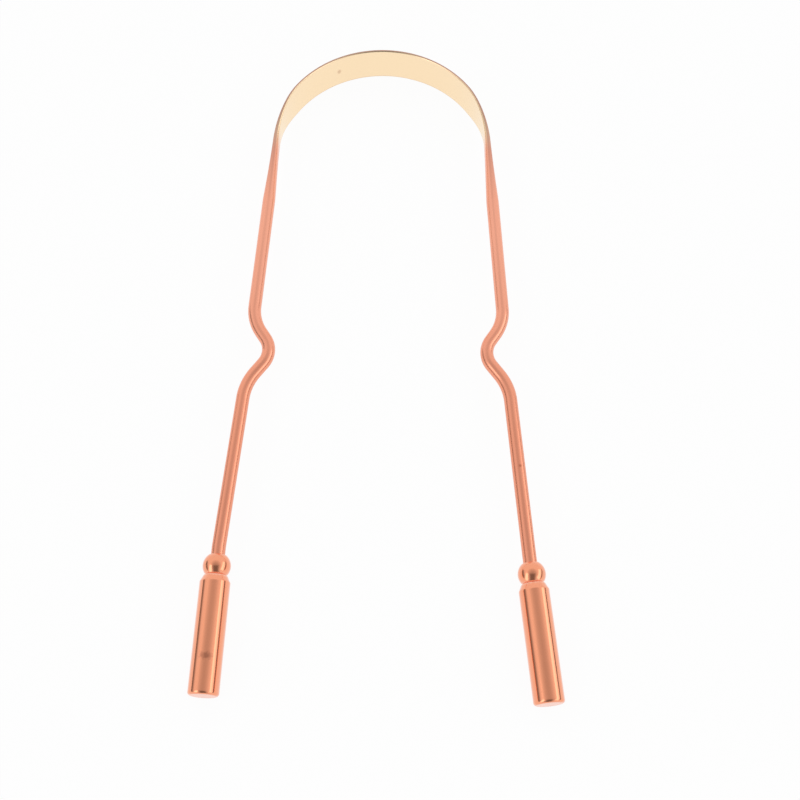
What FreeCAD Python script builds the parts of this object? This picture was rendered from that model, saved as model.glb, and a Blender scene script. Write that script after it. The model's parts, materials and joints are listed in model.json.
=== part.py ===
"""Tongue scraper: a copper wire with its middle pressed flat, and a bead and a barrel on each end.

Millimetres and degrees. The scraper lies on a table, +X to its right, +Y towards its blade and +Z up.
It is drawn flat about the centre of its arch and then laid down on the blade's edge and the two barrels.
"""
import FreeCAD, Part
import math
import os

from collections import namedtuple
from FreeCAD import Placement, Rotation, Vector

# Wire
wire_diameter = 2.35

# Blade: the wire's middle, pressed flat on edge and bent to an arch
band_width = 7.7
band_thickness = 0.5
arch_radius = 20.4         # to the middle of the band
flex_gap = 0.1             # room at each end of the blade for the leg to flex

# Necks: the taper from the flat band back to round wire
neck_arc = 32.0            # how far each neck reaches up the arch, in degrees
neck_straight = 13.0       # how far it reaches down the leg
neck_ease = 0.35           # share of the neck over which its taper starts, before it goes on evenly
neck_stations = 14         # how many steps each neck is drawn in

# Legs: straight runs and bends, each run's angle measured outwards from the scraper's length
upper_run = 22.6           # below the neck
upper_angle = 3.4
upper_bend_radius = 8.5
kink_in_run = 1.5
kink_in_angle = -33.6
kink_bend_radius = 4.3
kink_out_run = 2.2
kink_out_angle = 36.5
lower_bend_radius = 9.8
lower_angle = 4.9
handle_bend_radius = 10.0

# The two lower ends are set by hand, so they differ a little
left_lower_run = 26.9
left_handle_angle = 1.9
right_lower_run = 28.1
right_handle_angle = 5.8

# Beads: balls with a flat land round the bore at both ends
bead_diameter = 4.7
bead_land = 0.36
bead_standoff = 1.25       # straight wire between the last bend and the bead

# Handles: barrels whose chamfered top carries the bead, bored blind for the wire's tail
barrel_diameter = 5.1
barrel_length = 19.5
barrel_top_diameter = 4.1
barrel_chamfer = 1.05      # length of the cone from the top to the full diameter
barrel_edge = 0.5          # rounding of the free end
bore_depth = 12.0
bore_clearance = 0.03      # between the wire and a bore, all round
tail_clearance = 0.5       # between the wire's end and the bottom of the bore

UP = Vector(0, 0, 1)
wire_radius = wire_diameter / 2
bore_radius = wire_radius + bore_clearance
barrel_radius = barrel_diameter / 2
bead_half_length = math.sqrt((bead_diameter / 2) ** 2 - (bore_radius + bead_land) ** 2)
neck_start_angle = 90 - upper_angle - neck_arc
Side = namedtuple("Side", "sign lower_run handle_angle")
SIDES = {"left": Side(-1, left_lower_run, left_handle_angle),
         "right": Side(1, right_lower_run, right_handle_angle)}


def heading(side, angle):
    """Direction down a leg that leans outwards by an angle."""
    lean = math.radians(angle)
    return Vector(side.sign * math.sin(lean), -math.cos(lean), 0)


def outwards(side, angle):
    """Direction in the scraper's plane, square to that heading and away from the middle."""
    lean = math.radians(angle)
    return Vector(side.sign * math.cos(lean), math.sin(lean), 0)


def arch_point(side, angle_from_top):
    """A point on the middle line of the arch."""
    turn = math.radians(angle_from_top)
    return Vector(side.sign * math.sin(turn), math.cos(turn), 0) * arch_radius


def area(thickness, width):
    """Area of the flattened wire: a flat strip with half-round edges."""
    return (width - thickness) * thickness + math.pi / 4 * thickness ** 2


def section(centre, across, thickness, width, roundness):
    """Closed outline of the wire square to its path, from a strip with half-round edges to a circle.

    Two edges are arcs over the width's ends. Two faces are flat at roundness 0 and bulge with it, until
    at roundness 1 and equal sides all four are quarters of one circle. Each arc meets the next smoothly.
    """
    half_thick = thickness / 2
    half_wide = width / 2
    tilt = 2 * math.atan(math.tan(math.radians(22.5)) * half_thick / half_wide * roundness)
    if roundness == 0:
        edge_radius = half_thick
    else:
        edge_radius = ((half_thick * math.sin(tilt) - half_wide * (1 - math.cos(tilt)))
                       / (math.sin(tilt) + math.cos(tilt) - 1))
    corner_in = edge_radius * math.cos(tilt)
    corner_up = half_wide - edge_radius * (1 - math.sin(tilt))

    def place(in_plane, height):
        return centre + across * in_plane + UP * height

    outer_face = [place(corner_in, -corner_up), place(half_thick, 0), place(corner_in, corner_up)]
    top_edge = [place(corner_in, corner_up), place(0, half_wide), place(-corner_in, corner_up)]
    inner_face = [place(-corner_in, corner_up), place(-half_thick, 0), place(-corner_in, -corner_up)]
    low_edge = [place(-corner_in, -corner_up), place(0, -half_wide), place(corner_in, -corner_up)]
    edges = []
    for points in (outer_face, top_edge, inner_face, low_edge):
        flat = roundness == 0 and points in (outer_face, inner_face)
        curve = Part.LineSegment(points[0], points[2]) if flat else Part.Arc(*points)
        edges.append(curve.toShape())
    return Part.Wire(edges)


def blade():
    """The flat band, turned round the middle of the arch between the two necks."""
    gap_angle = math.degrees(flex_gap / 2 / arch_radius)
    reach = neck_start_angle - gap_angle
    start = arch_point(SIDES["left"], reach)
    outline = section(start, Vector(start).normalize(), band_thickness, band_width, 0)
    return Part.Face(outline).revolve(Vector(0, 0, 0), -UP, 2 * reach)


def neck(side):
    """The taper from band to wire: round the end of the arch, then straight down the leg."""
    arc_length = math.radians(neck_arc) * arch_radius
    length = arc_length + neck_straight
    leg_top = arch_point(side, 90 - upper_angle)
    band_area = area(band_thickness, band_width)
    wire_area = area(wire_diameter, wire_diameter)
    outlines = []
    for station in range(neck_stations + 1):
        step = station / neck_stations
        travel = flex_gap / 2 + (length - flex_gap / 2) * step
        eased = step ** 2 / (2 * neck_ease) if step < neck_ease else step - neck_ease / 2
        share = eased / (1 - neck_ease / 2)
        if travel < arc_length:
            angle = neck_start_angle + math.degrees(travel / arch_radius)
            centre = arch_point(side, angle)
            across = Vector(centre).normalize()
        else:
            centre = leg_top + heading(side, upper_angle) * (travel - arc_length)
            across = outwards(side, upper_angle)
        thickness = band_thickness + (wire_diameter - band_thickness) * share
        here = band_area + (wire_area - band_area) * share
        width = here / thickness + (1 - math.pi / 4) * thickness
        outlines.append(section(centre, across, thickness, width, share))
    return Part.makeLoft(outlines, True)


def bend(side, start, angle, next_angle, radius):
    """An arc of wire from one heading to the next, with its end point."""
    direction = 1 if next_angle > angle else -1
    centre = start + outwards(side, angle) * (direction * radius)
    middle = centre - outwards(side, (angle + next_angle) / 2) * (direction * radius)
    end = centre - outwards(side, next_angle) * (direction * radius)
    return Part.Arc(start, middle, end).toShape(), end


def wire_path(side):
    """The round wire's path as edges down to its last bend, and where that bend ends."""
    point = arch_point(side, 90 - upper_angle) + heading(side, upper_angle) * neck_straight
    angle = upper_angle
    edges = []
    runs = [(upper_run, kink_in_angle, upper_bend_radius),
            (kink_in_run, kink_out_angle, kink_bend_radius),
            (kink_out_run, lower_angle, lower_bend_radius),
            (side.lower_run, side.handle_angle, handle_bend_radius)]
    for run, next_angle, radius in runs:
        end = point + heading(side, angle) * run
        edges.append(Part.LineSegment(point, end).toShape())
        point = end
        if next_angle != angle:
            edge, point = bend(side, point, angle, next_angle, radius)
            edges.append(edge)
        angle = next_angle
    return edges, point


def leg(side):
    """One leg in one piece: the neck, the kinked round wire, and the tail inside bead and barrel."""
    edges, start = wire_path(side)
    tail = bead_standoff + 2 * bead_half_length + bore_depth - tail_clearance
    end = start + heading(side, side.handle_angle) * tail
    edges.append(Part.LineSegment(start, end).toShape())
    top = edges[0].Vertexes[0].Point
    ring = Part.Wire([Part.Circle(top, heading(side, upper_angle), wire_radius).toShape()])
    round_wire = Part.Wire(edges).makePipeShell([ring], True, False)
    return neck(side).fuse(round_wire)


def turned(profile, side):
    """A profile about the handle's axis, drawn as radius and distance down the tail, turned full circle."""
    _, start = wire_path(side)
    solid = Part.Face(Part.Wire(profile)).revolve(Vector(0, 0, 0), UP, 360)
    solid.Placement = Placement(start, Rotation(UP, heading(side, side.handle_angle)))
    return solid


def line(start, end):
    """A straight edge of a turned profile between two points of radius and distance."""
    return Part.LineSegment(Vector(start[0], 0, start[1]), Vector(end[0], 0, end[1])).toShape()


def arc(start, middle, end):
    """A round edge of a turned profile through three points of radius and distance."""
    return Part.Arc(*(Vector(radius, 0, distance) for radius, distance in (start, middle, end))).toShape()


def bead(side):
    """A ball with a bore for the wire and a flat land at each end."""
    top = bead_standoff
    middle = top + bead_half_length
    bottom = middle + bead_half_length
    land = bore_radius + bead_land
    profile = [line((bore_radius, bottom), (bore_radius, top)),
               line((bore_radius, top), (land, top)),
               arc((land, top), (bead_diameter / 2, middle), (land, bottom)),
               line((land, bottom), (bore_radius, bottom))]
    return turned(profile, side)


def handle(side):
    """A barrel with a chamfer under the bead, a rounded free end and a blind bore."""
    top = bead_standoff + 2 * bead_half_length
    shoulder = top + barrel_chamfer
    end = top + barrel_length
    bore_end = top + bore_depth
    top_radius = barrel_top_diameter / 2
    inner = barrel_radius - barrel_edge
    on_edge = inner + barrel_edge * math.sin(math.radians(45))
    edge_depth = barrel_edge * (1 - math.cos(math.radians(45)))
    profile = [line((0, bore_end), (bore_radius, bore_end)),
               line((bore_radius, bore_end), (bore_radius, top)),
               line((bore_radius, top), (top_radius, top)),
               line((top_radius, top), (barrel_radius, shoulder)),
               line((barrel_radius, shoulder), (barrel_radius, end - barrel_edge)),
               arc((barrel_radius, end - barrel_edge), (on_edge, end - edge_depth), (inner, end)),
               line((inner, end), (0, end)),
               line((0, end), (0, bore_end))]
    return turned(profile, side)


def lay_down(nodes):
    """Tip the flat drawing on to the blade's edge and the barrels, with the table at Z 0 and centred."""
    right = SIDES["right"]
    _, start = wire_path(right)
    reach = bead_standoff + 2 * bead_half_length + barrel_length - barrel_edge
    barrel_rest = start + heading(right, right.handle_angle) * reach
    blade_rest = arch_point(right, neck_start_angle)
    tip = math.atan2(band_width / 2 - barrel_radius, blade_rest.y - barrel_rest.y)
    turn = Placement(Vector(0, 0, 0), Rotation(Vector(1, 0, 0), math.degrees(tip)))
    for shape in nodes.values():
        shape.Placement = turn.multiply(shape.Placement)
    box = Part.makeCompound(list(nodes.values())).optimalBoundingBox(False)
    shift = Placement(-Vector(box.Center.x, box.Center.y, box.ZMin), Rotation())
    for shape in nodes.values():
        shape.Placement = shift.multiply(shape.Placement)
    return shift.multiply(turn)


def build():
    """Every piece by its node's name, and the placement that lays the flat drawing on the table."""
    nodes = {"scraper_blade": blade()}
    for name, side in SIDES.items():
        nodes[name + "_leg"] = leg(side)
        nodes[name + "_bead"] = bead(side)
        nodes[name + "_handle"] = handle(side)
    placement = lay_down(nodes)
    return nodes, placement


def main():
    """Write one STEP file for each piece and print what was made."""
    os.makedirs("parts", exist_ok=True)
    nodes, placement = build()
    for name, shape in nodes.items():
        shape.exportStep("parts/" + name + ".step")
        box = shape.optimalBoundingBox(False)
        print("%-14s solids %d valid %s volume %8.2f  x %6.2f..%6.2f  y %6.2f..%6.2f  z %5.2f..%5.2f" % (
            name, len(shape.Solids), shape.isValid(), shape.Volume,
            box.XMin, box.XMax, box.YMin, box.YMax, box.ZMin, box.ZMax))
    print("laid down by", placement)


main()
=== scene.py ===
# %% [markdown]
# # A copper tongue scraper
#
# The object is one copper wire. Its middle is pressed flat into a band and bent to an arch, which is the
# blade. Both ends are bent in to a kink and out again, and each carries a ball bead and a barrel handle. The
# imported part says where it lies, and the sizes below are those of its solids. This lesson dresses the solids
# in smooth surfaces and metal finishes.

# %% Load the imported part
import json
import math

import bmesh
import bpy
import numpy as np
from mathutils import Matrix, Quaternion, Vector


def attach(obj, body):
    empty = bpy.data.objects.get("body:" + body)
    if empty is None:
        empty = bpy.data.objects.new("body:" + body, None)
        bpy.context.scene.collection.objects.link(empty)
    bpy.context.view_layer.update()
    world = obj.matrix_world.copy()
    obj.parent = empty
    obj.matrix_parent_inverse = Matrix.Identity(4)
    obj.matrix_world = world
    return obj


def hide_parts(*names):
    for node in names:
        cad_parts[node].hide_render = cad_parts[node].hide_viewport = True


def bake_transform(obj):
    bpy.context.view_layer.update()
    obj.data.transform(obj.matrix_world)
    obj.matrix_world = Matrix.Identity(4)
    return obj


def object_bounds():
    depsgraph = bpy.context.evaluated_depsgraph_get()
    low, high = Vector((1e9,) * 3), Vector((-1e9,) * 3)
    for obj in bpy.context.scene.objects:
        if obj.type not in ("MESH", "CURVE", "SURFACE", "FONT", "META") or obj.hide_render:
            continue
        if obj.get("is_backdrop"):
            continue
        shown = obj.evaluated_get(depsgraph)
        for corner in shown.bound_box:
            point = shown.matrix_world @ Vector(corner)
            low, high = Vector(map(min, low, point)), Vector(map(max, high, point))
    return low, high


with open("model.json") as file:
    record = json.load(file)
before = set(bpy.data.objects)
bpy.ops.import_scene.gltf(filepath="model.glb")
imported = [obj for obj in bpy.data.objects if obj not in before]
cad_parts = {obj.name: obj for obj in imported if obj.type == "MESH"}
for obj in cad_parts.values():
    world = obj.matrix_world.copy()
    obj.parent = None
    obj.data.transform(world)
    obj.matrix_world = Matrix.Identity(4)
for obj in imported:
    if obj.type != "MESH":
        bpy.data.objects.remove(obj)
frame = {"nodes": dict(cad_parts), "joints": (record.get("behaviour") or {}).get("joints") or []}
cad_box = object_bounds()
print("solids:", ", ".join(sorted(frame["nodes"])))

# %% [markdown]
# ## Where the drawing lies
#
# The scraper is a flat thing, so it is easiest to draw in its own plane, in millimetres, about the centre of
# its arch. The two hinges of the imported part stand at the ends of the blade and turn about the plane's
# normal, so they tell where that plane lies and how it is tipped on the table. Reading them is safer than
# typing the numbers again, because the surfaces then sit exactly on the solids.

# %% The scraper's own plane
arch_radius = 20.4          # mm, to the middle of the band
upper_angle = 3.4           # degrees that the upper legs lean outwards
neck_arc = 32.0             # degrees of the arch that each neck takes
hinge_lean = upper_angle + neck_arc        # degrees that the wire leans where the blade ends
up = np.array([0, 0, 1])    # out of the plane

hinges = {joint["name"]: joint for joint in frame["joints"]}
left_pivot = np.array(hinges["left_flex"]["pos_m"])
right_pivot = np.array(hinges["right_flex"]["pos_m"])
to_right = (right_pivot - left_pivot) / np.linalg.norm(right_pivot - left_pivot)
normal = np.array(hinges["left_flex"]["axis"])
to_blade = np.cross(normal, to_right)
rise = arch_radius / 1000 * math.sin(math.radians(hinge_lean))
arch_centre = (left_pivot + right_pivot) / 2 - to_blade * rise
plane = np.array([to_right, to_blade, normal])


def on_table(points):
    """Millimetres in the scraper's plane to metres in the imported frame: a turn and a shift."""
    return arch_centre + np.asarray(points) / 1000 @ plane


tip = math.degrees(math.acos(normal[2]))
print("arch centre (m):", np.round(arch_centre, 5), " tip (deg):", round(tip, 3))

# %% [markdown]
# ## The line that the wire follows
#
# A bent wire is fully told by its lean: the angle between its heading and the scraper's length. Over a
# straight run the lean stays the same, and round a bend it changes evenly with the distance travelled. So
# the lean is a broken line over distance, and the wire's path is the running sum of its headings. That needs
# no corner points and no arc centres, and one function serves the arch, the kinks and the tail.

# %% The lean of half a wire
upper_run = 35.6            # mm from the arch to the first bend, neck included
kinks = [(8.5, -33.6, 1.5), (4.3, 36.5, 2.2)]      # bend radius, lean after it, straight run after it
lower_bend = 9.8            # radius of the bend below the kink
lower_angle = 4.9
handle_bend = 10.0          # radius of the bend above the bead
tail = 16.26                # from the last bend to the wire's end inside the barrel
sides = {"left": {"sign": -1, "lower_run": 26.9, "handle_angle": 1.9},
         "right": {"sign": 1, "lower_run": 28.1, "handle_angle": 5.8}}


def lean_knots(side):
    """Distances from the top of the arch, and the lean there: the ends of each bend and straight run.

    At the top the wire heads straight outwards, which is a lean of 90 degrees. A bend is as long as its
    radius times its change of lean.
    """
    steps = [(arch_radius, upper_angle, upper_run)] + kinks
    steps += [(lower_bend, lower_angle, side["lower_run"]), (handle_bend, side["handle_angle"], tail)]
    distances, leans = [0.0], [90.0]
    for radius, lean, run in steps:
        arc = radius * abs(math.radians(lean - leans[-1]))
        distances += [distances[-1] + arc, distances[-1] + arc + run]
        leans += [lean, lean]
    return np.array(distances), np.array(leans)


for name, side in sides.items():
    print(name, "leans in turn (deg):", lean_knots(side)[1][::2])

# %% The path of half a wire
path_step = 0.2             # mm, about how far apart the stations of a path are


def heading(side, lean):
    """Direction down the wire at a lean: its sine outwards, and its cosine towards the handles."""
    turn = np.radians(lean)
    return np.stack([side["sign"] * np.sin(turn), -np.cos(turn), 0 * turn], axis=-1)


def outward(side, lean):
    """Direction square to that heading, away from the middle: the cosine outwards, the sine to the blade."""
    turn = np.radians(lean)
    return np.stack([side["sign"] * np.cos(turn), np.sin(turn), 0 * turn], axis=-1)


def wire_path(side):
    """Distance, centre and outward direction at even steps: a centre is the sum of the moves before it."""
    distances, leans = lean_knots(side)
    travel = np.linspace(0, distances[-1], int(distances[-1] / path_step) + 1)
    between = np.interp((travel[1:] + travel[:-1]) / 2, distances, leans)
    moves = heading(side, between) * np.diff(travel)[:, None]
    centres = np.vstack([[0, 0, 0], np.cumsum(moves, axis=0)]) + [0, arch_radius, 0]
    return travel, centres, outward(side, np.interp(travel, distances, leans))


for name, side in sides.items():
    travel, centres, _ = wire_path(side)
    print(name, "wire: %d stations, %.1f mm long," % (len(travel), travel[-1]),
          "ends at", np.round(centres[-1], 2))

# %% [markdown]
# ## The wire's cross-section
#
# Pressing a round wire flat keeps its metal: as it gets thinner it gets wider, so the area hardly changes.
# The band ends up as a strip with half-round edges. In the neck, the outline turns from that strip back to a
# circle. Both are drawn as four arcs that meet smoothly, two faces and two edges. At the strip the faces are
# flat, and at the wire all four arcs are quarters of one circle. A scaled circle would be simpler, but it
# gives an ellipse, which has neither the band's flat face nor its even edge.

# %% From band to wire
wire_diameter = 2.35
band_width = 7.7
band_thickness = 0.5
neck_straight = 13.0        # mm that each neck reaches down its leg
neck_length = math.radians(neck_arc) * arch_radius + neck_straight
neck_ease = 0.35            # share of the neck over which its taper starts, before it goes on evenly


def strip_area(thickness, width):
    """Area of a strip with half-round edges: a rectangle and a circle."""
    return (width - thickness) * thickness + math.pi / 4 * thickness ** 2


def roundness_at(travel):
    """0 on the band and 1 on the wire. In the neck it grows with the distance's square, then evenly."""
    start = math.radians(90 - hinge_lean) * arch_radius
    step = np.clip((travel - start) / neck_length, 0, 1)
    eased = np.where(step < neck_ease, step ** 2 / (2 * neck_ease), step - neck_ease / 2)
    return eased / (1 - neck_ease / 2)


print("areas of band and wire (square mm): %.2f and %.2f"
      % (strip_area(band_thickness, band_width), strip_area(wire_diameter, wire_diameter)))

# %% Sections from strip to circle
arc_steps = 12              # points on each of the four arcs
arc_share = np.arange(arc_steps) / arc_steps       # how far along its arc each of them is
round_tilt = math.pi / 4    # half the turn of a face on the round wire, where it is a quarter circle
least_tilt = 1e-5           # the same on the flat band, not quite 0, so that it can be divided by


def sections(roundness):
    """In-plane and upward offsets of the outline, a row for each station.

    A face arc turns by the tilt each way from its middle, and an edge arc turns from there to the other
    face. The edge's radius is what makes the two share a tangent where they meet.
    """
    thickness = band_thickness + (wire_diameter - band_thickness) * roundness
    band = strip_area(band_thickness, band_width)
    wire = strip_area(wire_diameter, wire_diameter)
    width = (band + (wire - band) * roundness) / thickness + (1 - math.pi / 4) * thickness
    half_thick, half_wide = thickness[:, None] / 2, width[:, None] / 2
    tilt = 2 * np.arctan(math.tan(round_tilt / 2) * half_thick / half_wide * roundness[:, None])
    tilt = np.maximum(tilt, least_tilt)
    edge = half_thick * np.sin(tilt) - half_wide * (1 - np.cos(tilt))
    edge = edge / (np.sin(tilt) + np.cos(tilt) - 1)
    corner_up = half_wide - edge * (1 - np.sin(tilt))
    turn = tilt * np.sin((arc_share - 0.5) * math.pi)
    face_in = half_thick - corner_up * (1 - np.cos(turn)) / np.sin(tilt)
    face_up = corner_up * np.sin(turn) / np.sin(tilt)
    angle = tilt + (math.pi - 2 * tilt) * arc_share
    edge_in = edge * np.cos(angle)
    edge_up = half_wide - edge + edge * np.sin(angle)
    in_plane = np.hstack([face_in, edge_in, -face_in, -edge_in])
    upwards = np.hstack([face_up, edge_up, -face_up, -edge_up])
    return in_plane, upwards


in_plane, upwards = sections(np.array([0.0, 0.5, 1.0]))
print("thickness and width from band to wire (mm):",
      np.round(np.c_[2 * in_plane.max(1), 2 * upwards.max(1)], 2).tolist())

# %% [markdown]
# ## One skin for every piece
#
# Each piece here is a grid of points: rows along it and columns round it. One function turns any such grid
# into a closed mesh. Columns always join up round the piece. Rows either join up too, as in a ring, or each
# end is closed to a point in its middle. The map laid on it is in millimetres, along and around, so that
# drawing lines and turning lines can be given their real spacing. Distances along count below zero on the
# left side, so a mark can be put on one side only. The sign of the enclosed volume says if the faces point
# outwards.

# %% A closed piece
sharp_angle = 40            # degrees between two faces, from which the edge between them looks sharp


def closed_piece(name, points, faces, flat_map):
    """An object from points, faces and their map, with its faces turned outwards and shaded smooth."""
    mesh = bpy.data.meshes.new(name)
    mesh.from_pydata(points.tolist(), [], faces)
    mesh.uv_layers.new(name="surface_mm").data.foreach_set("uv", flat_map.astype(np.float32).ravel())
    solid = bmesh.new()
    solid.from_mesh(mesh)
    volume = solid.calc_volume(signed=True)
    solid.free()
    if volume < 0:
        mesh.flip_normals()
    mesh.polygons.foreach_set("use_smooth", np.ones(len(mesh.polygons), bool))
    mesh.set_sharp_from_angle(angle=math.radians(sharp_angle))
    mesh.validate()
    made = bpy.data.objects.new(name, mesh)
    bpy.context.scene.collection.objects.link(made)
    print("%s: %d faces, %.1f cubic mm" % (name, len(mesh.polygons), abs(volume) * 1000 ** 3))
    return made


print("edges look sharp from", sharp_angle, "degrees")

# %% The skin of a grid
def cells(table):
    """The values at the four corners of each cell of a table, in order round the cell."""
    corners = [table[:-1, :-1], table[:-1, 1:], table[1:, 1:], table[1:, :-1]]
    return np.stack(corners, axis=2).reshape(-1, 4, *table.shape[2:])


def skin(name, grid, along, around, ring=False):
    """A closed piece from rows of points. Without ring, its two end rows are closed to their middles."""
    rows, columns, _ = grid.shape
    points = grid.reshape(-1, 3)
    number = np.arange(rows * columns).reshape(rows, columns)
    number = np.hstack([number, number[:, :1]])
    if ring:
        number = np.vstack([number, number[:1]])
        along = np.append(along, along[-1] + along[1] - along[0])
    faces = cells(number).tolist()
    flat_map = cells(np.stack(np.meshgrid(along, around, indexing="ij"), axis=2)).reshape(-1, 2)
    if not ring:
        middle = np.full(columns, len(points))
        first, last = number[0], number[-1]
        fans = np.vstack([np.stack([middle, first[1:], first[:-1]], axis=1),
                          np.stack([middle + 1, last[:-1], last[1:]], axis=1)])
        faces += fans.tolist()
        points = np.vstack([points, grid[[0, -1]].mean(axis=1)])
        fan_along = np.repeat(along[[0, -1]], 3 * columns)     # three corners to each face of a fan
        flat_map = np.vstack([flat_map, np.stack([fan_along, 0 * fan_along], axis=1)])
    return closed_piece(name, points, faces, flat_map)


print("a grid of 2 by 2 numbers has the cell", cells(np.arange(4).reshape(2, 2)).tolist())

# %% [markdown]
# ## The wire, in two halves
#
# The real blade and legs are one piece, and each leg springs because the thin band bends. The imported part
# stands in for that with a hinge at each end of the blade. Here each half of the wire, from the top of the
# arch to the end of its tail, is one unbroken surface. The two halves meet at the top of the arch, which
# never moves. Two values are kept for the finish: how flat the wire is pressed, and how dull the pressing
# left it at its edges. The map round the wire follows the metal, so it spreads where the wire is pressed.

# %% Sweep the sections along the path
dull_fade = (0.4, 0.8)      # shares of the upper edge, from its outside, between which its dullness fades
# The edge it lies on gets less of the dull colour than the upper edge: painted light, for the white table that
# this edge mirrors.
table_lit_edge_dullness = 0.3           # how dull the edge it lies on is, beside 1 for the outside of the upper edge


def mark_pressing(wire, roundness):
    """Each point's flatness, and its dullness: the section's own dullness times the flatness."""
    face = np.zeros(arc_steps)
    upper_edge = np.interp(arc_share, dull_fade, (1, 0))
    # the last part is the edge it lies on, kept less dull as painted light for the white table it mirrors
    dullness = np.concatenate([face, upper_edge, face, face + table_lit_edge_dullness])
    flatness = np.repeat(1 - roundness, len(dullness))
    edge = np.outer(1 - roundness, dullness).ravel()
    for field, value in (("flatness", flatness), ("pressed_edge", edge)):
        with_ends = np.append(value, [value[0], 0]).astype(np.float32)
        wire.data.attributes.new(field, "FLOAT", "POINT").data.foreach_set("value", with_ends)


def half_wire(name, side):
    """Each ring is the section, set at the path's centre: outward offset plus upward offset."""
    travel, centres, outwards = wire_path(side)
    roundness = roundness_at(travel)
    in_plane, upwards = sections(roundness)
    grid = centres[:, None, :] + outwards[:, None, :] * in_plane[:, :, None] + upwards[:, :, None] * up
    around = np.linspace(0, math.pi * wire_diameter, in_plane.shape[1] + 1)
    made = skin(name, on_table(grid), side["sign"] * travel, around)
    mark_pressing(made, roundness)
    return made


wires = []
for name, side in sides.items():
    wire = half_wire(name + "_half_wire", side)
    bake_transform(wire)
    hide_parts("scraper_blade", name + "_leg")
    wires.append(wire)

# %% [markdown]
# ## Beads and barrels
#
# Both are turned parts: a profile spun about the wire's tail. The bead is a ball with a flat land and a bore.
# The barrel has a chamfered top that the bead sits on, a rounded free end and a blind bore for the tail. A
# lathe profile needs only its radii and its distances down the tail. The round edge is an arc of several
# points, because on polished metal it is the round edges that catch the light. The chamfer's lower corner
# has points about a sixth of a millimetre off on both sides, and the smooth shading between them makes it
# catch a thin line of light, as a corner does that was broken with a file.

# %% Turned profiles
bore_clearance = 0.03       # mm round the wire
bore_radius = wire_diameter / 2 + bore_clearance
bore_depth = 12.0           # in the barrel
bead_standoff = 1.25        # mm from the last bend to the bead
bead_radius = 2.35
land_width = 0.36           # of the bead's flat ends, round the bore
bead_land = bore_radius + land_width
bead_half = math.sqrt(bead_radius ** 2 - bead_land ** 2)
barrel_radius = 2.55
barrel_length = 19.5
barrel_top_radius = 2.05
barrel_chamfer = 1.05
barrel_edge = 0.5           # rounding of the free end
pinhole = 0.02              # radius at which a flat end is closed to its middle
ball_steps = 49             # points down the ball
chamfer_steps = 7
wall_steps = 118
edge_steps = 9
end_steps = 12              # points across the free end


def arc_points(radius, centre, start, end, steps):
    """Points of radius and distance round a centre, by even angles from the outward direction."""
    angle = np.radians(np.linspace(start, end, steps))
    return np.stack([centre[0] + radius * np.cos(angle), centre[1] + radius * np.sin(angle)], axis=1)


def bead_profile():
    """A closed loop: down the ball's outside, then back up the bore."""
    middle = bead_standoff + bead_half
    reach = math.degrees(math.asin(bead_half / bead_radius))
    ball = arc_points(bead_radius, (0, middle), -reach, reach, ball_steps)
    bore = [[bore_radius, middle + bead_half], [bore_radius, middle - bead_half]]
    return np.vstack([ball, bore])


def barrel_profile():
    """From the bottom of the bore up to the top, down the chamfer and the wall, and across the free end."""
    top = bead_standoff + 2 * bead_half
    bore_end = top + bore_depth
    shoulder = [barrel_radius, top + barrel_chamfer]
    end = top + barrel_length
    inner = barrel_radius - barrel_edge
    return np.vstack([
        [[pinhole, bore_end], [bore_radius, bore_end], [bore_radius, top]],
        np.linspace([barrel_top_radius, top], shoulder, chamfer_steps),
        np.linspace(shoulder, [barrel_radius, end - barrel_edge], wall_steps)[1:-1],
        arc_points(barrel_edge, (inner, end - barrel_edge), 0, 90, edge_steps),
        np.linspace([inner, end], [pinhole, end], end_steps)[1:]])


print("profiles: %d points for a bead, %d for a barrel" % (len(bead_profile()), len(barrel_profile())))

# %% Spin the profiles
round_steps = 128           # points round a turned part


def spun(name, profile, side, ring):
    """Each row is a circle: the profile's radius about the tail, at its distance from the last bend."""
    _, centres, outwards = wire_path(side)
    down_tail = heading(side, side["handle_angle"])
    last_bend = centres[-1] - down_tail * tail
    turn = np.linspace(0, 2 * math.pi, round_steps + 1)
    circle = np.cos(turn)[:-1, None] * outwards[-1] + np.sin(turn)[:-1, None] * up
    radius, distance = profile.T[:, :, None, None]
    grid = last_bend + distance * down_tail + radius * circle
    lengths = np.linalg.norm(np.diff(profile, axis=0), axis=1)
    along = np.concatenate([[0], np.cumsum(lengths)])
    return skin(name, on_table(grid), side["sign"] * along, turn * barrel_radius, ring)


turned = []
for name, side in sides.items():
    bead = spun(name + "_ball_bead", bead_profile(), side, ring=True)
    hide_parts(name + "_bead")
    barrel = spun(name + "_barrel_handle", barrel_profile(), side, ring=False)
    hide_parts(name + "_handle")
    for piece in (bead, barrel):
        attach(piece, name + "_side")
        turned.append(piece)

# %% [markdown]
# ## Helpers for finishes
#
# Colours are written as the hex values that a colour picker shows, and the renderer wants linear light, so
# one function converts them. One more adds a node to a material: its own settings by name, and each input as
# a value or as the output of another node. A mixing node has several inputs of the same name, so these are
# taken by number, and the numbers get names here.

# %% Colour and node helpers
smooth = {"interpolation_type": "SMOOTHSTEP"}      # settings that several nodes share
colours = {"data_type": "RGBA"}
factor = 0
first_value, second_value, mixed_value = 2, 3, 0
first_colour, second_colour, mixed_colour = 6, 7, 2


def linear(hex_colour):
    """sRGB hex to linear light: each channel through the standard curve."""
    channel = np.array([int(hex_colour[k:k + 2], 16) for k in (1, 3, 5)]) / 255
    light = np.where(channel <= 0.04045, channel / 12.92, ((channel + 0.055) / 1.055) ** 2.4)
    return (*light.tolist(), 1.0)


def add(tree, kind, settings=None, inputs=None):
    """One node with its settings, and its inputs set to values or linked to other nodes' outputs."""
    made = tree.nodes.new(kind)
    for field, value in (settings or {}).items():
        setattr(made, field, value)
    for key, value in (inputs or {}).items():
        if isinstance(value, bpy.types.NodeSocket):
            tree.links.new(value, made.inputs[key])
        else:
            made.inputs[key].default_value = value
    return made


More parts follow.
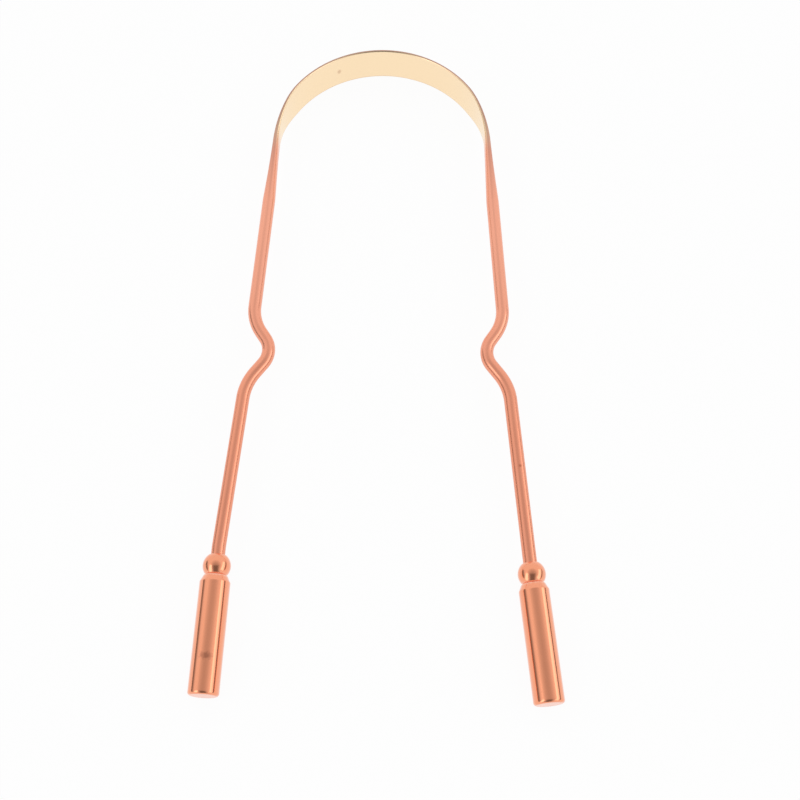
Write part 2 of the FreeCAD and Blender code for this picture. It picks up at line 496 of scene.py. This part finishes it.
copper_oxide = "#A0583A"
print("copper oxide's colour in linear light:", np.round(linear(copper_oxide)[:3], 3))

# %% [markdown]
# ## What the two copper finishes share
#
# Both are bare metal worked in one direction, by a die or on a lathe, so their gloss is stretched across the
# lines that this leaves. Bare copper turns red-brown with oxide where it was touched or knocked. A stain is
# put at a place on the map, with its own sizes along and around, and a noise makes its rim ragged. The
# turned parts' painted highlight is put on the same way. The lines are a noise too, and nearly all of a
# noise lies between two values near its middle, so a finish goes from its one end to its other over that
# range.

# %% Worked metal
gloss_stretch = 0.5
noise_low, noise_high = 0.3, 0.7
noise_range = {"From Min": noise_low, "From Max": noise_high}


def metal(name, turn):
    """A new metal, its gloss stretched along its map, or round it after a quarter turn."""
    material = bpy.data.materials.new(name)
    material.use_nodes = True
    tree = material.node_tree
    shader = tree.nodes["Principled BSDF"]
    shader.inputs["Metallic"].default_value = 1.0
    shader.inputs["Anisotropic"].default_value = gloss_stretch
    shader.inputs["Anisotropic Rotation"].default_value = turn
    surface = add(tree, "ShaderNodeUVMap", {"uv_map": "surface_mm"}).outputs["UV"]
    tangent = add(tree, "ShaderNodeTangent", {"direction_type": "UV_MAP", "uv_map": "surface_mm"})
    tree.links.new(tangent.outputs["Tangent"], shader.inputs["Tangent"])
    return material, tree, shader, surface


def distance_along(tree, surface):
    """Distance along a piece, on either side: the size of the map's first value."""
    along = add(tree, "ShaderNodeSeparateXYZ", None, {"Vector": surface})
    return add(tree, "ShaderNodeMath", {"operation": "ABSOLUTE"}, {0: along.outputs["X"]}).outputs["Value"]


print("gloss is stretched by", gloss_stretch)

# %% Stains and painted highlights
# Marks are stains, and also the painted highlight of the turned parts, put on the same way.
ragged_size = 0.4           # mm, of the unevenness of a stain's rim
mark_fade = {"From Min": 0.6, "From Max": 1.5}        # distance plus noise, from a full stain to none


def stains_and_highlights(tree, surface, colour, mark_colour, marks):
    """A colour mixed to the mark colour at each mark, by the distance from its middle in its own sizes."""
    ragged = add(tree, "ShaderNodeTexNoise", {"noise_dimensions": "2D"},
                 {"Vector": surface, "Scale": 1 / ragged_size, "Detail": 2.0})
    for place, size, strength in marks:
        offset = add(tree, "ShaderNodeVectorMath", {"operation": "SUBTRACT"},
                     {0: surface, 1: (*place, 0)})
        scaled = add(tree, "ShaderNodeVectorMath", {"operation": "DIVIDE"},
                     {0: offset.outputs["Vector"], 1: (*size, 1)})
        reach = add(tree, "ShaderNodeVectorMath", {"operation": "LENGTH"}, {0: scaled.outputs["Vector"]})
        rim = add(tree, "ShaderNodeMath", {"operation": "ADD"},
                  {0: reach.outputs["Value"], 1: ragged.outputs["Fac"]})
        mark = add(tree, "ShaderNodeMapRange", smooth,
                   {"Value": rim.outputs["Value"], **mark_fade, "To Min": strength, "To Max": 0.0})
        mix = add(tree, "ShaderNodeMix", colours,
                  {factor: mark.outputs["Result"], first_colour: colour, second_colour: linear(mark_colour)})
        colour = mix.outputs[mixed_colour]
    return colour


print("stains have rims ragged by", ragged_size, "mm")

# %% [markdown]
# ## Cold-drawn copper, pressed bright at the blade
#
# Copper wire is pulled through a die, which leaves fine lines along it. Pressing and polishing the middle
# makes its faces smooth and brighter. Their colour is also paler than the round legs', and that paleness is
# painted sheen, for the bright light that the flat faces mirror. The outside of its upper edge stays dull and
# brown. The edge that it lies on gets less of that dull colour, which is painted light for the white table
# that this edge mirrors. The legs get deeper in colour towards the handles. So the finish mixes copper
# colours by the distance along the wire, by how flat it is and by how dull its edges are. The drawing lines
# are a noise stretched along the wire and fading out on the band. Real ones are some hundredths of a
# millimetre apart, too fine to show, so they are drawn coarser here. Their blur, across the wire, is the
# shader's own. The speck on the blade and the nick on the right leg are small stains of oxide.

# %% Wire colours
# The legs turn deeper in colour towards the handles.
leg_colour, handle_end_colour = "#F9AD91", "#F3A081"
handle_end_fade = {"From Min": 50.0, "From Max": 95.0}       # mm along, over which the one turns to the other
# The band's pale colour is painted sheen, for the bright light that its flat faces mirror.
band_colour_and_sheen = "#FEE4BE"
dull_colour = "#C4907F"
speck = ((-9.17, 4.6), (0.85, 0.13), 0.35)             # place along and around, sizes in mm, strength
nick = ((98.8, 2.6), (0.4, 0.4), 0.6)


def wire_colour(tree, surface, band, dull):
    """The legs' colour by distance along, the band's mixed in over it, then the dull edge's, then stains."""
    towards_handles = add(tree, "ShaderNodeMapRange", smooth, {"Value": distance_along(tree, surface), **handle_end_fade})
    legs = add(tree, "ShaderNodeMix", colours,
               {factor: towards_handles.outputs["Result"], first_colour: linear(leg_colour),
                second_colour: linear(handle_end_colour)})
    # the band's colour, mixed in by flatness: its paleness is painted sheen
    faces = add(tree, "ShaderNodeMix", colours,
                {factor: band, first_colour: legs.outputs[mixed_colour], second_colour: linear(band_colour_and_sheen)})
    edged = add(tree, "ShaderNodeMix", colours,
                {factor: dull, first_colour: faces.outputs[mixed_colour], second_colour: linear(dull_colour)})
    return stains_and_highlights(tree, surface, edged.outputs[mixed_colour], copper_oxide, [speck, nick])


print("wire colours:", leg_colour, handle_end_colour, band_colour_and_sheen, dull_colour)

# %% Drawing lines
line_length = 12.0          # mm
line_spacing = 0.25         # mm


def drawing_lines(tree, surface, band):
    """A noise stretched along the wire, mixed to its smooth end on the band."""
    stretch = add(tree, "ShaderNodeMapping", None,
                  {"Vector": surface, "Scale": (1 / line_length, 1 / line_spacing, 1)})
    noise = add(tree, "ShaderNodeTexNoise", {"noise_dimensions": "2D"},
                {"Vector": stretch.outputs["Vector"], "Scale": 1.0, "Detail": 3.0})
    lines = add(tree, "ShaderNodeMix", None,
                {factor: band, first_value: noise.outputs["Fac"], second_value: noise_high})
    return lines.outputs[mixed_value]


print("drawing lines:", line_length, "mm long and", line_spacing, "mm apart")

# %% Wire finish
band_fade = {"From Min": 0.5, "From Max": 0.8}         # flatness, from the legs' look to the band's
line_shade = {"To Min": 0.97, "To Max": 1.0}           # how bright the lines are, from rough to smooth
line_relief = {"Strength": 0.05, "Distance": 0.00005}  # share of the bump that shows, and metres
wire_roughness = {"To Min": 0.26, "To Max": 0.19}
dull_roughness = 0.5


def drawn_copper():
    """Copper by flatness and dullness, with drawing lines in its colour, roughness and height."""
    material, tree, shader, surface = metal("cold_drawn_copper", turn=0.25)
    flat = add(tree, "ShaderNodeAttribute", {"attribute_name": "flatness"})
    dull = add(tree, "ShaderNodeAttribute", {"attribute_name": "pressed_edge"}).outputs["Fac"]
    band = add(tree, "ShaderNodeMapRange", smooth, {"Value": flat.outputs["Fac"], **band_fade})
    lines = drawing_lines(tree, surface, band.outputs["Result"])
    shade = add(tree, "ShaderNodeMapRange", None, {"Value": lines, **noise_range, **line_shade})
    colour = wire_colour(tree, surface, band.outputs["Result"], dull)
    toned = add(tree, "ShaderNodeVectorMath", {"operation": "SCALE"},
                {0: colour, "Scale": shade.outputs["Result"]})
    bright = add(tree, "ShaderNodeMapRange", None, {"Value": lines, **noise_range, **wire_roughness})
    rough = add(tree, "ShaderNodeMix", None,
                {factor: dull, first_value: bright.outputs["Result"], second_value: dull_roughness})
    bump = add(tree, "ShaderNodeBump", None, {"Height": lines, **line_relief})
    tree.links.new(toned.outputs["Vector"], shader.inputs["Base Color"])
    tree.links.new(rough.outputs[mixed_value], shader.inputs["Roughness"])
    tree.links.new(bump.outputs["Normal"], shader.inputs["Normal"])
    return material


wire_finish = drawn_copper()
for wire in wires:
    wire.data.materials.append(wire_finish)
print("wire finish:", wire_finish.name)

# %% [markdown]
# ## Turned and polished copper
#
# Beads and barrels come off a lathe, so their lines run round them, and on the barrel's end they are rings.
# Distance along the profile gives both at once. The lines stay faint, because the parts were polished after
# turning, and the polishing by hand left the surface very slightly wavy: some thousandths of a millimetre
# over a few millimetres, which only shows in what it mirrors. The metal is deeper in colour than the wire,
# and a clear film of wax from the polishing makes it paler where it is seen at a low angle. The film is
# thinner on the free ends, which rub on things. The left barrel has a smudge of oxide. A pale ring all the
# way round the groove under each bead is a painted highlight, for the light that the barrel's top rim
# catches.

# %% Marks on the turned parts
smudge = ((-27.6, 4.2), (0.85, 1.6), 0.6)              # place along and around, sizes in mm, strength
# A pale ring all the way round the groove under each bead: a painted highlight, for the light that the
# barrel's top rim catches.
painted_groove_highlight = "#FBEADF"
groove_highlight_strength = 0.4
groove_reach = 0.6          # mm
all_round = 1000            # mm, so long a mark that it goes right round
bead_foot = 2 * bead_radius * math.asin(bead_half / bead_radius)
barrel_ledge = bore_depth + (bead_land + barrel_top_radius) / 2
groove = [((sign * place, 0), (groove_reach, all_round), groove_highlight_strength)
          for sign in (-1, 1) for place in (bead_foot, barrel_ledge)]
print("paste along the profiles (mm): %.2f on a bead, %.2f on a barrel" % (bead_foot, barrel_ledge))

# %% Polishing waves
wave_length = 3.0           # mm
wave_height = 0.000012      # metres


def polishing_waves(tree):
    """A bump from a slow noise in space."""
    place = add(tree, "ShaderNodeTexCoord")
    wave = add(tree, "ShaderNodeTexNoise", None,
               {"Vector": place.outputs["Object"], "Scale": 1000 / wave_length, "Detail": 1.0})
    return add(tree, "ShaderNodeBump", None,
               {"Height": wave.outputs["Fac"], "Strength": 1.0, "Distance": wave_height})


print("waves:", wave_length, "mm long")

# %% Turned finish
turning_spacing = 0.25      # mm, coarser than the real lines, which are too fine to show
turned_roughness = {"To Min": 0.17, "To Max": 0.12}
film_roughness = 0.08
free_edge = bore_depth + barrel_top_radius + barrel_length     # mm along a barrel, at its round edge
film_fade = {"From Min": free_edge - barrel_edge, "From Max": free_edge + barrel_edge,
             "To Min": 1.0, "To Max": 0.4}             # a full film on the wall, a thin one on the free end


def turned_copper():
    """Copper with faint turning lines, a noise of the distance along the profile, under a clear film."""
    material, tree, shader, surface = metal("turned_polished_copper", turn=0.0)
    shader.inputs["Coat Roughness"].default_value = film_roughness
    along = add(tree, "ShaderNodeSeparateXYZ", None, {"Vector": surface})
    spacing = add(tree, "ShaderNodeMath", {"operation": "DIVIDE"},
                  {0: along.outputs["X"], 1: turning_spacing})
    lines = add(tree, "ShaderNodeTexNoise", {"noise_dimensions": "1D"},
                {"W": spacing.outputs["Value"], "Detail": 2.0}).outputs["Fac"]
    colour = add(tree, "ShaderNodeMix", colours,
                 {factor: lines, first_colour: linear("#F49A71"), second_colour: linear("#FCA47B")})
    smudged = stains_and_highlights(tree, surface, colour.outputs[mixed_colour], copper_oxide, [smudge])
    # painted highlight: a pale ring round the groove under each bead
    with_groove_highlight = stains_and_highlights(tree, surface, smudged, painted_groove_highlight, groove)
    rough = add(tree, "ShaderNodeMapRange", None, {"Value": lines, **noise_range, **turned_roughness})
    film = add(tree, "ShaderNodeMapRange", None, {"Value": distance_along(tree, surface), **film_fade})
    tree.links.new(with_groove_highlight, shader.inputs["Base Color"])
    tree.links.new(rough.outputs["Result"], shader.inputs["Roughness"])
    tree.links.new(film.outputs["Result"], shader.inputs["Coat Weight"])
    tree.links.new(polishing_waves(tree).outputs["Normal"], shader.inputs["Normal"])
    return material


turned_finish = turned_copper()
for piece in turned:
    piece.data.materials.append(turned_finish)
print("turned finish: %s, with a film that thins at %.2f mm" % (turned_finish.name, free_edge))

# %% [markdown]
# ## The table
#
# The scraper lies on white paper. Lit paper never comes out evenly white, so what the camera and the metal
# see of it is mostly plain white. The rest is the lit sheet, so that the scraper keeps a soft shadow.

# %% Table
plain_share = 0.95          # how much of the paper that is seen is plain white
table_half = 1.5            # metres


def white_paper():
    """A lit white sheet, mixed with plain white where the camera, a mirror or glass sees it."""
    material = bpy.data.materials.new("white_paper")
    material.use_nodes = True
    tree = material.node_tree
    tree.nodes.remove(tree.nodes["Principled BSDF"])
    sheet = add(tree, "ShaderNodeBsdfDiffuse", None, {"Color": linear("#FAFAFA")})
    white = add(tree, "ShaderNodeEmission", None, {"Color": linear("#FFFFFF"), "Strength": 1.0})
    path = add(tree, "ShaderNodeLightPath")
    seen = path.outputs["Is Camera Ray"]
    for ray in ("Is Glossy Ray", "Is Transmission Ray"):
        either = add(tree, "ShaderNodeMath", {"operation": "MAXIMUM"}, {0: seen, 1: path.outputs[ray]})
        seen = either.outputs["Value"]
    share = add(tree, "ShaderNodeMath", {"operation": "MULTIPLY"}, {0: seen, 1: plain_share})
    mixed = add(tree, "ShaderNodeMixShader", None,
                {0: share.outputs["Value"], 1: sheet.outputs["BSDF"], 2: white.outputs["Emission"]})
    tree.links.new(mixed.outputs["Shader"], tree.nodes["Material Output"].inputs["Surface"])
    return material


corners = table_half * np.array([[-1, -1, 0], [1, -1, 0], [1, 1, 0], [-1, 1, 0]])
table_mesh = bpy.data.meshes.new("paper_table")
table_mesh.from_pydata(corners.tolist(), [], [[0, 1, 2, 3]])
table_mesh.materials.append(white_paper())
table = bpy.data.objects.new("paper_table", table_mesh)
bpy.context.scene.collection.objects.link(table)
table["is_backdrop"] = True
print("table:", 2 * table_half, "m wide")

# %% [markdown]
# ## The light
#
# Polished metal shows what is round it, so the light here is built like a small light tent. Its walls glow,
# its top is darker, and low down at its left and right is a dark gap above the table. These give a barrel
# its pale flanks, its darker middle and its two dark lines. A dark strip stands where the camera looks in,
# and a soft box at each side of it: on a bead these are the dark patch and the two bright ones. The tent is
# the world behind everything. A direction is one unit long, so its parts to the right, to the back and
# upwards go from -1 to 1, and each brightness fades over a range of them.

# %% Light tent
tent_top = (0, -0.15, 1)    # the way to the darkest place of the top, a little towards the camera
top_fade = {"From Min": 0.7, "From Max": 1.0, "To Min": 0.95, "To Max": 0.52}      # walls to top, upwards
gap_fade = {"From Min": 0.1, "From Max": 0.55, "To Min": 0.25, "To Max": 1.0}      # gap to walls, upwards
side_fade = {"From Min": 0.83, "From Max": 0.945}      # to the gap's full depth, left and right
strip_back = {"From Min": -0.3, "From Max": 0.0}       # from the strip to no strip, front to back
strip_side = {"From Min": 0.15, "From Max": 0.6}       # the same from its middle to both sides
strip_light = 0.22


def tent_walls(tree, direction, height, aside):
    """Brightness of the walls and the top, times that of the gap, which is 1 away from the two sides."""
    lift = add(tree, "ShaderNodeVectorMath", {"operation": "DOT_PRODUCT"}, {0: direction, 1: tent_top})
    walls = add(tree, "ShaderNodeMapRange", None, {"Value": lift.outputs["Value"], **top_fade})
    low = add(tree, "ShaderNodeMapRange", smooth, {"Value": height, **gap_fade})
    at_side = add(tree, "ShaderNodeMapRange", smooth, {"Value": aside, **side_fade})
    gap = add(tree, "ShaderNodeMix", None,
              {factor: at_side.outputs["Result"], first_value: 1.0, second_value: low.outputs["Result"]})
    level = add(tree, "ShaderNodeMath", {"operation": "MULTIPLY"},
                {0: walls.outputs["Result"], 1: gap.outputs[mixed_value]})
    return level.outputs["Value"]


def light_tent():
    """Brightness by direction: the walls, with a dark strip in front."""
    world = bpy.data.worlds.new("light_tent")
    world.use_nodes = True
    tree = world.node_tree
    direction = add(tree, "ShaderNodeTexCoord").outputs["Generated"]
    part = add(tree, "ShaderNodeSeparateXYZ", None, {"Vector": direction})
    aside = add(tree, "ShaderNodeMath", {"operation": "ABSOLUTE"}, {0: part.outputs["X"]}).outputs["Value"]
    walls = tent_walls(tree, direction, part.outputs["Z"], aside)
    behind = add(tree, "ShaderNodeMapRange", smooth, {"Value": part.outputs["Y"], **strip_back})
    beside = add(tree, "ShaderNodeMapRange", smooth, {"Value": aside, **strip_side})
    off_strip = add(tree, "ShaderNodeMath", {"operation": "MAXIMUM"},
                    {0: behind.outputs["Result"], 1: beside.outputs["Result"]})
    level = add(tree, "ShaderNodeMix", None,
                {factor: off_strip.outputs["Value"], first_value: strip_light, second_value: walls})
    tree.links.new(level.outputs[mixed_value], tree.nodes["Background"].inputs["Strength"])
    tree.nodes["Background"].inputs["Color"].default_value = linear("#FFFFFF")
    return world


bpy.context.scene.world = light_tent()
print("world:", bpy.context.scene.world.name)

# %% Soft boxes
lamp_distance = 0.6         # metres from the scraper


def soft_box(name, azimuth, elevation, roll, width, height, brightness):
    """A flat lamp that faces the scraper, rolled about its axis.

    Its power is its brightness times its area times pi.
    """
    lamp = bpy.data.lights.new(name, "AREA")
    lamp.shape = "RECTANGLE"
    lamp.size, lamp.size_y = width, height
    lamp.energy = brightness * width * height * math.pi
    turn, lift = math.radians(azimuth), math.radians(elevation)
    back = Vector((math.cos(lift) * math.cos(turn), math.cos(lift) * math.sin(turn), math.sin(lift)))
    made = bpy.data.objects.new(name, lamp)
    made.location = back * lamp_distance
    made.rotation_mode = "QUATERNION"
    made.rotation_quaternion = back.to_track_quat("Z", "Y") @ Quaternion((0, 0, 1), math.radians(roll))
    bpy.context.scene.collection.objects.link(made)
    print("%s: %.2f by %.2f m, %.2f W" % (name, width, height, lamp.energy))


soft_box("right_soft_box", azimuth=-10, elevation=25, roll=0, width=0.74, height=0.3, brightness=0.75)
soft_box("left_soft_box", azimuth=-143, elevation=31, roll=-49, width=0.62, height=0.22, brightness=0.9)

# %% [markdown]
# ## Camera
#
# The scraper lies on the table and is seen from above, a little from the handles' side. The place and the
# lens were found by fitting the known outline to the picture: the barrels' end faces show only as slivers,
# which sets how far off the camera stands.

# %% Camera
image_width = 800           # pixels
focal_pixels = 1200
eye_place = (5.05, -134.72, 194.3)         # mm in the scraper's plane, and above it
aim_place = (4.1, -52.51, 0)
camera_data = bpy.data.cameras.new("camera")
camera_data.sensor_width = 36.0
camera_data.lens = camera_data.sensor_width * focal_pixels / image_width
camera_data.clip_start = 0.01
camera = bpy.data.objects.new("camera", camera_data)
eye = Vector(on_table(eye_place).tolist())
aim = Vector(on_table(aim_place).tolist())
camera.location = eye
camera.rotation_mode = "QUATERNION"
camera.rotation_quaternion = (eye - aim).to_track_quat("Z", "Y")
bpy.context.scene.collection.objects.link(camera)
bpy.context.scene.camera = camera
bpy.context.scene.view_settings.view_transform = "Standard"
print("lens: %.1f mm, %.0f mm from the scraper" % (camera_data.lens, (eye - aim).length * 1000))

# %% [markdown]
# ## Both boxes
#
# The dressed scraper is meant to keep the solids' box, so both boxes are printed.

# %% Sizes
dressed_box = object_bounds()
for name, box in (("solids", cad_box), ("dressed", dressed_box)):
    print(name, "box (mm):", [[round(value * 1000, 2) for value in corner] for corner in box])
